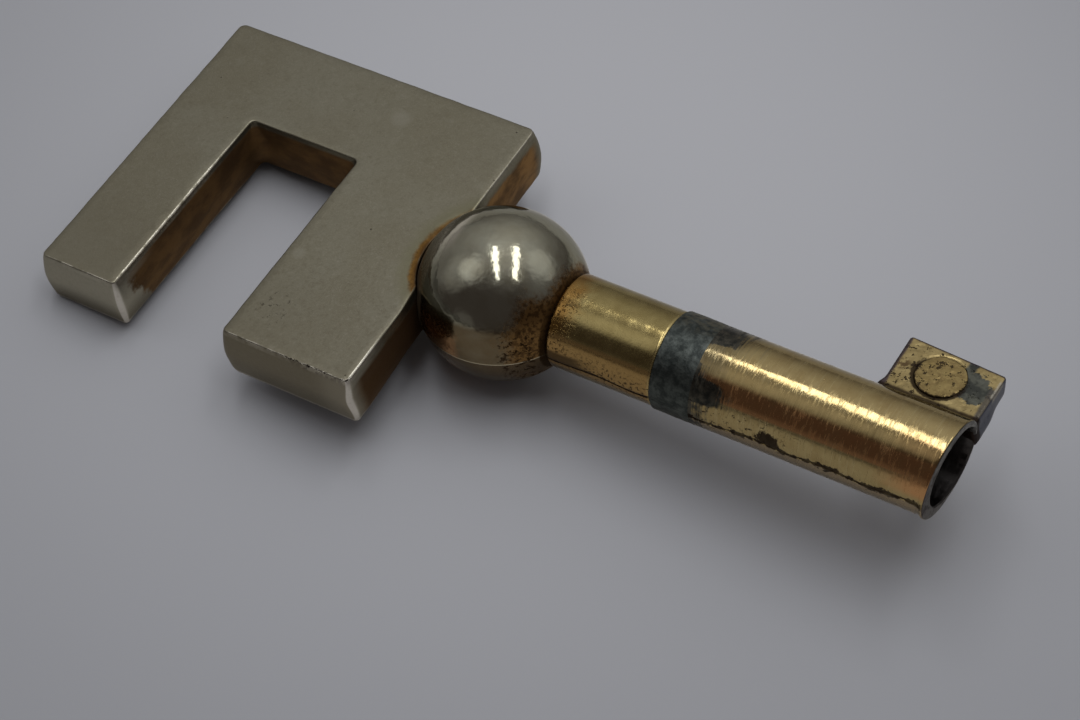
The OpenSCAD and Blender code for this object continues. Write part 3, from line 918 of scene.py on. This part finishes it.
def pipe_brass():
    """Rubbed brass, scratched round its axis, with a black seam, dark solder smeared from the
    band, a red tinge at the mouth and dull bare metal on its end face and in the bore. Along
    its length a painted red reflection and a painted dark band under the long highlight."""
    m = Made("bright_brass", (0.262, 0.205, 0.098))
    turn = m.turn()
    cloud = m.noise(0.8, 4, 0.6)
    lines = m.scratches(8)
    coarse = m.scratches(2.6)
    m.paint((0.215, 0.16, 0.072), cloud.rise(0.3, 0.75))
    m.paint((0.32, 0.27, 0.15), lines.rise(0.52, 0.7) * 0.3)
    # A red tinge at the mouth, and along the whole pipe a red tint on the stripe that mirrors
    # the dark room, a painted reflection
    red = m.x.rise(-4.5, -0.5) * turn.band(-1.15, -0.3, 0.2)
    red = red.high(turn.band(-0.98, -0.58, 0.06)) * (cloud * 0.6 + 0.5).low(0.9)
    m.paint((0.35, 0.175, 0.075), red)
    # A darker band just under the long highlight, painted shade standing in for the dark room's
    # reflection
    m.paint((0.17, 0.125, 0.055), turn.band(-1.2, -1, 0.1) * 0.8)
    seam = m.seam(turn)
    near = turn.rise(1.2, 0.8)
    m.paint((0.21, 0.165, 0.115), seam.rise(0.08, 0.2) * near * 0.8)

    # Solder smeared forward from the band, longest on top, in streaks round the axis
    reach = coarse * 1.6 + lines * 2 + turn.rise(-1.2, -1.9) * 1.3
    reach = reach + turn.band(-0.8, -0.45, 0.12) * 1.6
    reach = reach - turn.band(-1.55, -1.2, 0.1) * 1.4 + m.noise(1.5, 4, 0.7) * 2.2
    smear = (m.x - reach).rise(-18.6, -19.8)
    thin = m.x - coarse * 2.4 - lines * 2.6 - turn.rise(-1.3, -1.9) * 1.2
    thin = thin.rise(-16.6, -19.4) * turn.rise(-0.4, -1.2) * 0.5
    cloudy = m.noise(1.8, 4, 0.65).rise(0.35, 0.65)
    gray = m.tint((0.02, 0.021, 0.019), (0.06, 0.056, 0.045), cloudy)
    m.paint(gray, smear.high(thin))

    # Black along the seam, with specks and one larger patch above it
    ragged = m.noise(1.9, 4, 0.65)
    line_at = (abs(seam + 0.03) - ragged**4 * 2.6).rise(0.05, -0.02)
    line_at = line_at * near * m.x.rise(-0.1, -0.4) * (cloud * 1.2 + 0.35).low(1)
    upright = m.vector(m.x * 1.6, m.y, m.z)
    blob = length((m.x + 11.3) * 0.75, seam + 0.5) - m.noise(1.8, 5, 0.75, upright) * 1.3
    blob = blob.rise(0.02, -0.1)
    speck = m.noise(3.4, 4, 0.7, m.vector(m.x * 0.6, m.y, m.z)).rise(0.6, 0.66)
    speck = speck * seam.band(-1.6, 0.1, 0.5) * m.x.rise(-8.5, -11)
    black = line_at.high(blob).high(speck)
    m.paint(DIRT_AND_SHADE, black * 0.95)
    mark = m.pits(1.1, 0.09, 0.12, m.vector(m.x, m.y, m.z * 0.6))
    m.paint((0.05, 0.035, 0.02), mark * 0.7)

    # The end face and the bore
    face = m.nx.rise(0.6, 0.85)
    cloudy = m.noise(2.5).rise(0.4, 0.7)
    metal = m.tint((0.04, 0.038, 0.038), (0.09, 0.09, 0.092), cloudy)
    metal = m.tint(metal, (0.03, 0.025, 0.026), (m.z * 0.5 + m.y * 0.5).rise(0.6, -1.6))
    m.paint(metal, face)
    bore = length(m.y - BORE_SHIFT[0], m.z - BORE_SHIFT[1]).rise(3.02, 2.94)
    bore = (bore * m.x.rise(-3.5, -2.5)).high(m.off_axis().rise(2.98, 2.9))
    m.paint((0.04, 0.037, 0.036), bore)
    dull = smear.high(face * 0.8).high(bore)
    haze = m.scratches(24, 5).rise(0.5, 0.62)
    streaks = m.scratches(5, 0.9).rise(0.5, 0.62)
    rough_at = 0.06 + haze * 0.1 + streaks * 0.19 + turn.rise(-0.85, -0.6) * 0.08
    rough_at = rough_at + dull * 0.2 + black * 0.3
    normal = m.bump(lines, 0.0024)
    normal = m.bump(m.scratches(22, 0.25), 0.0009, normal)
    normal = m.bump(m.noise(0.7, 2), 0.01, normal)
    normal = m.bump(1 - black.high(mark), 0.03, normal)
    return m.finish(rough_at, normal)


def solder():
    """Dark grey-green solder, mottled and slightly grainy."""
    m = Made("dark_solder", (0.024, 0.028, 0.027))
    mottle = m.noise(1.5, 5, 0.7)
    m.paint((0.062, 0.07, 0.066), mottle.rise(0.38, 0.66))
    far_side = m.turn().rise(-1.5, -2.3)
    m.paint((0.13, 0.12, 0.085), far_side * m.noise(2.5).rise(0.4, 0.6) * 0.6)
    grain = m.noise(5, 4, 0.6)
    return m.finish(0.4 + grain * 0.15, m.bump(grain + mottle, 0.02))


def bit_brass(name, plug):
    """Pale pitted brass. On the bit, a grey-green patch, dark edges and a bare end face."""
    m = Made(name, (0.205, 0.155, 0.066) if plug else (0.255, 0.2, 0.094))
    cloud = m.noise(1.1, 4, 0.6)
    m.paint((0.165, 0.122, 0.05) if plug else (0.195, 0.15, 0.068), cloud.rise(0.35, 0.65))
    if plug:
        m.paint((0.13, 0.092, 0.04), m.noise(1.7, 4, 0.7).rise(0.45, 0.6) * 0.6)
    pit = m.noise(2.3, 5, 0.7).rise(0.555 if plug else 0.59, 0.63)
    small = m.pits(3, 0.16, 0.1)
    dark = pit.high(small * 0.8)
    m.paint((0.04, 0.03, 0.018), dark)
    # Distance from the plug's middle, and towards the side with the widest gap
    from_plug = length(m.x - PLUG_X, m.y - PLUG_Y)
    wide_side = m.y - PLUG_Y + (m.x - PLUG_X) * 0.35
    if plug:
        lost = (from_plug + m.noise(2.6, 4, 0.7) * 0.6).rise(PLUG_R + 0.16, PLUG_R + 0.28)
        lost = lost * wide_side.rise(2.2, -0.4)
    else:
        patch = length(m.x + 1.1, (m.y - 5.75) * 0.95) - m.noise(1.5, 4, 0.65) * 1.5
        tongue = (abs(m.x + 1.75) - m.noise(1.8, 4) * 0.7).rise(0.15, -0.1)
        patch = patch.rise(0.55, 0.4).high(tongue * m.y.band(5.9, 7.9, 0.3))
        green = m.tint((0.07, 0.072, 0.06), (0.034, 0.036, 0.032), cloud.rise(0.4, 0.6))
        m.paint(green, patch)

        # Dark edges, and the filed end face
        wobble = m.noise(1.6) * 0.22
        edge = (m.x - wobble).rise(BIT_REAR_X + 0.26, BIT_REAR_X + 0.08)
        outer = m.y + m.x * (BIT_DROP / -BIT_REAR_X) + wobble
        outer = outer.rise(BIT_EDGE_Y - 0.57, BIT_EDGE_Y - 0.41)
        rim = edge.high(outer).high(abs(m.nz).rise(0.75, 0.4))
        m.paint((0.034, 0.026, 0.036), rim * 0.9)
        lead = FRONT_LEAD + (FRONT_Y - FRONT_EDGE_Y) * PIPE_R
        forward = m.x - m.y * FRONT_EDGE_Y - m.z * FRONT_Z
        front = (forward + wobble).rise(lead - 0.48, lead - 0.3) * abs(m.nz).rise(0.5, 0.9)
        m.paint((0.062, 0.058, 0.052), front * m.y.rise(6.6, 6.1) * 0.9)
        m.paint((0.072, 0.078, 0.104), m.nx.rise(0.5, 0.8))
        pale = forward.rise(lead - 0.3, lead - 0.16) * m.y.band(5.7, 7, 0.3)
        m.paint((0.25, 0.235, 0.2), pale * m.z.rise(0.4, 0.8) * 0.7)
        stain = m.spot(-5.95, 5.75, 0.2, 0.55) * m.noise(2.2, 4, 0.7).rise(0.44, 0.54)
        m.paint((0.05, 0.03, 0.016), stain * abs(m.nz).rise(0.6, 0.9) * 0.85)

        # Black in the corner at the pipe and in the gap round the plug
        root = (m.y - wobble).rise(3.74, 3.46)
        gap = from_plug - wide_side.rise(0.6, -1.4) * 0.12 - m.noise(2.8, 4, 0.7) * 0.42
        gap = gap.rise(PLUG_R + 0.04, PLUG_R - 0.1) * wide_side.rise(1.6, -0.6)
        lost = root.high(gap)
        dark = dark.high(patch * 0.7).high(rim * 0.4)
    m.paint(DIRT_AND_SHADE, lost * 0.9)
    dark = dark.high(lost)
    rough_at = 0.27 + cloud * 0.12 + dark * 0.25
    normal = m.bump(m.noise(2.6, 4, 0.6), 0.014)
    normal = m.bump(1 - pit, 0.025, normal)
    return m.finish(rough_at, normal)


make_bow(bow_nickel())
make_ball(ball_nickel())
make_sleeve(sleeve_brass())
make_band(solder())
make_pipe(pipe_brass())
make_bit(bit_brass("bit_brass", False))
plain_brass = bit_brass("plain_brass", True)
make_plug(plain_brass)
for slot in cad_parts["spindle"].material_slots:
    slot.material = plain_brass

# -------- floor
TILT = radians(7.35)  # the key rests on its ball and on the bow's rear edge
FLOOR_SIZE = 1500
FLOOR_GREY, FLOOR_SHADED_SIDES = (0.36, 0.369, 0.397), (0.243, 0.251, 0.272)
MIRRORED, MIRRORED_AWAY = (0.62, 0.61, 0.59), (0.15, 0.146, 0.14)
BACKDROP = (0.3, 0.305, 0.325)
floor_x = Vector((cos(TILT), 0, -sin(TILT)))
floor_y = Vector((0, 1, 0))
floor_up = floor_x.cross(floor_y)


def make_floor():
    """A pale plain floor under the tilted key."""
    touch = Vector((BALL_X, 0, 0)) - BALL_R * floor_up
    signs = ((-1, -1), (1, -1), (1, 1), (-1, 1))
    corners = [touch + (floor_x * i + floor_y * j) * FLOOR_SIZE for i, j in signs]
    mesh = bpy.data.meshes.new("floor")
    mesh.from_pydata([tuple(c * MM) for c in corners], [], [(0, 1, 2, 3)])
    floor = in_scene("floor", mesh)
    m = Made("floor", FLOOR_GREY)
    # Painted shade: darker towards the sides. Painted reflection: the metals mirror it paler
    # than it is, but dark in two far corners
    m.paint(FLOOR_SHADED_SIDES, length(m.x + 36, m.y - 18).rise(5, 75))
    away = m.x.rise(-45, -100) * m.y.rise(25, -40)
    away = away.high(m.x.rise(-40, 10) * m.y.rise(30, 110) * 0.7)
    mirrored = m.tint(MIRRORED, MIRRORED_AWAY, away)
    m.paint(mirrored, m.node("ShaderNodeLightPath").outputs["Is Glossy Ray"])
    m.finish(0.9, metal=0)
    m.shader.inputs["Specular IOR Level"].default_value = 0.1
    # From below it is clear, so that it doesn't hide the part
    mix = m.node("ShaderNodeMixShader")
    m.put(m.node("ShaderNodeNewGeometry").outputs["Backfacing"], mix.inputs[0])
    m.put(m.shader.outputs[0], mix.inputs[1])
    m.put(m.node("ShaderNodeBsdfTransparent").outputs[0], mix.inputs[2])
    m.put(mix.outputs[0], m.tree.nodes["Material Output"].inputs["Surface"])
    mesh.materials.append(m.material)


def toward(azimuth, elevation):
    """A direction above the floor: azimuth from its +X towards +Y, in degrees."""
    a, e = radians(azimuth), radians(elevation)
    level_x, level_y = floor_x * cos(e), floor_y * cos(e)
    return level_x * cos(a) + level_y * sin(a) + floor_up * sin(e)


# -------- light
ROOM = (0.108, 0.092, 0.088)  # the dim warm side of the room, behind the camera
WALL = (109, 48, 0.72, 3)  # azimuth, elevation, strength and tightness of a broad soft light
CEILING = (120, 74, 0.36, 8)
PANELS = (  # azimuth, elevation, radii, strength
    (-153, 50, 3, 21, 0.95),
    (46, 44, 3, 24, 0.55),
    (-107, 0, 3, 18, 0.12),
    (-156, 30, 3, 26, 0.28),
    (175, 12, 5, 45, 0.24),
    (15, 30, 5, 40, 0.12),
)
BARS = ((-178.1, 79.5), (52.2, 74.3))  # two long lamps side by side over the part
BAR_TURN = 122  # azimuth of their length
BAR_AWAY, BAR_LENGTH, BAR_WIDTH, BAR_GLOW = 330, 282, 47, 6.6


def make_world():
    """A dim room with broad soft lights, and a plain backdrop for the camera."""
    world = bpy.data.worlds.new("studio")
    scene.world = world
    world.use_nodes = True
    n = Nodes(world.node_tree)
    way = n.node("ShaderNodeTexCoord").outputs["Generated"]

    def along(azimuth, elevation):
        node = n.node("ShaderNodeVectorMath", operation="DOT_PRODUCT")
        n.put(way, node.inputs[0])
        node.inputs[1].default_value = toward(azimuth, elevation)
        return Val(n, node.outputs["Value"])

    glow = None
    for azimuth, elevation, strength, power in (WALL, CEILING):
        here = along(azimuth, elevation).high(0) ** power * strength
        glow = glow + here if glow else here
    for azimuth, elevation, inner, outer, strength in PANELS:
        ends = (cos(radians(a)) for a in (outer, inner))
        glow = glow + along(azimuth, elevation).rise(*ends) * strength
    lit = n.node("ShaderNodeVectorMath", operation="ADD")
    n.put(glow, lit.inputs[0])
    lit.inputs[1].default_value = ROOM
    seen = n.node("ShaderNodeLightPath").outputs["Is Camera Ray"]
    color = n.tint(Val(n, lit.outputs["Vector"]), BACKDROP, seen)
    n.put(color, n.tree.nodes["Background"].inputs["Color"])


def make_bars():
    over = Vector((BALL_X, 0, 0))
    for k, (azimuth, elevation) in enumerate(BARS):
        data = bpy.data.lights.new(f"bar_{k}", "AREA")
        data.shape = "RECTANGLE"
        data.size, data.size_y = BAR_WIDTH * MM, BAR_LENGTH * MM
        data.energy = pi * data.size * data.size_y * BAR_GLOW
        lamp = in_scene(data.name, data)
        back = toward(azimuth, elevation)
        way = toward(BAR_TURN, 0)
        way = (way - back * way.dot(back)).normalized()
        turned = Matrix((way.cross(back), way, back)).transposed()
        lamp.matrix_world = Matrix.Translation((over + back * BAR_AWAY) * MM) @ turned.to_4x4()


make_floor()
make_world()
make_bars()

# -------- camera
SENSOR, LENS = 36, 87.441
CAMERA_AT, CAMERA_TURN = (39.263, -91.223, 138.212), (38.240, 5.725, 30.492)
camera = bpy.data.cameras.new("camera")
camera.sensor_width, camera.lens = SENSOR, LENS
camera.clip_start, camera.clip_end = 0.01, 20
view = in_scene("camera", camera)
view.location = Vector(CAMERA_AT) * MM
view.rotation_euler = [radians(a) for a in CAMERA_TURN]
scene.camera = view
scene.view_settings.view_transform = "Standard"
